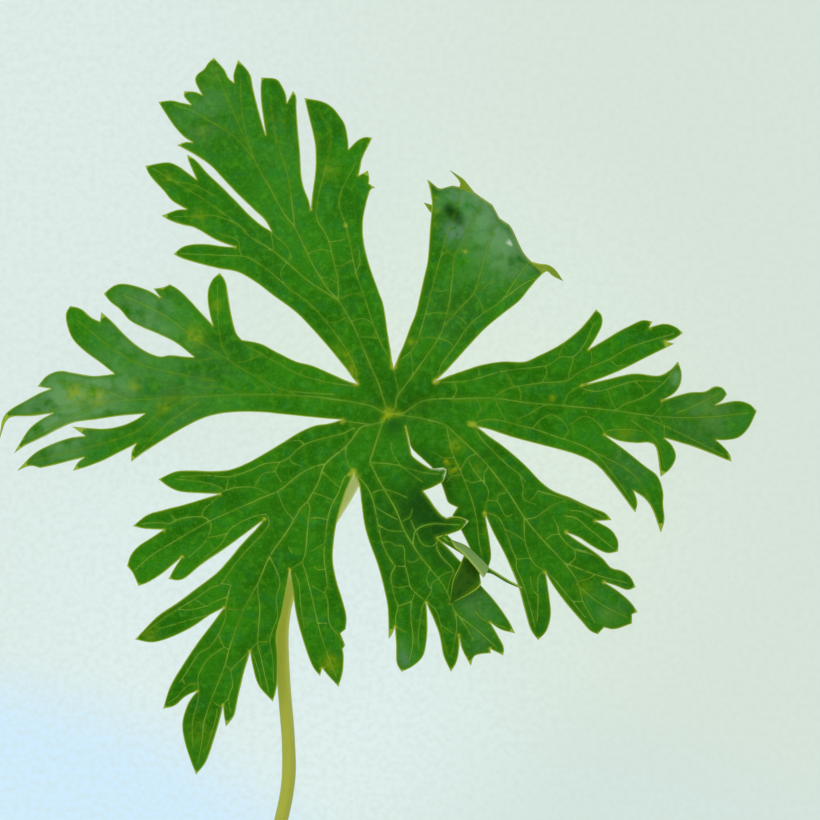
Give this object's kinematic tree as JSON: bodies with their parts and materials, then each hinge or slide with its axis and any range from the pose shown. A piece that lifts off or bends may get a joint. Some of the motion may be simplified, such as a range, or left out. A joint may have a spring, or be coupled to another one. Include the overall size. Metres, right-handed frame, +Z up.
{
  "type": "hardy geranium leaf",
  "caption": "Picked cranesbill leaf with deeply cut, toothed lobes, one of them rolled under, lying face up with its long curved petiole.",
  "frame": {"origin": "on the surface that the leaf lies on, under the middle of its bounding box", "axes": "+Z up, out of the blade's upper face; +Y from the cut end of the petiole towards the blade; +X to the right, as seen from above with the petiole towards the viewer"},
  "size_m": [0.1062, 0.1396, 0.0158],
  "materials": {
    "blade": "satin",
    "petiole": "satin"
  },
  "bodies": {
    "root": {"leaf_blade": "blade", "petiole": "petiole"}
  },
  "joints": []
}
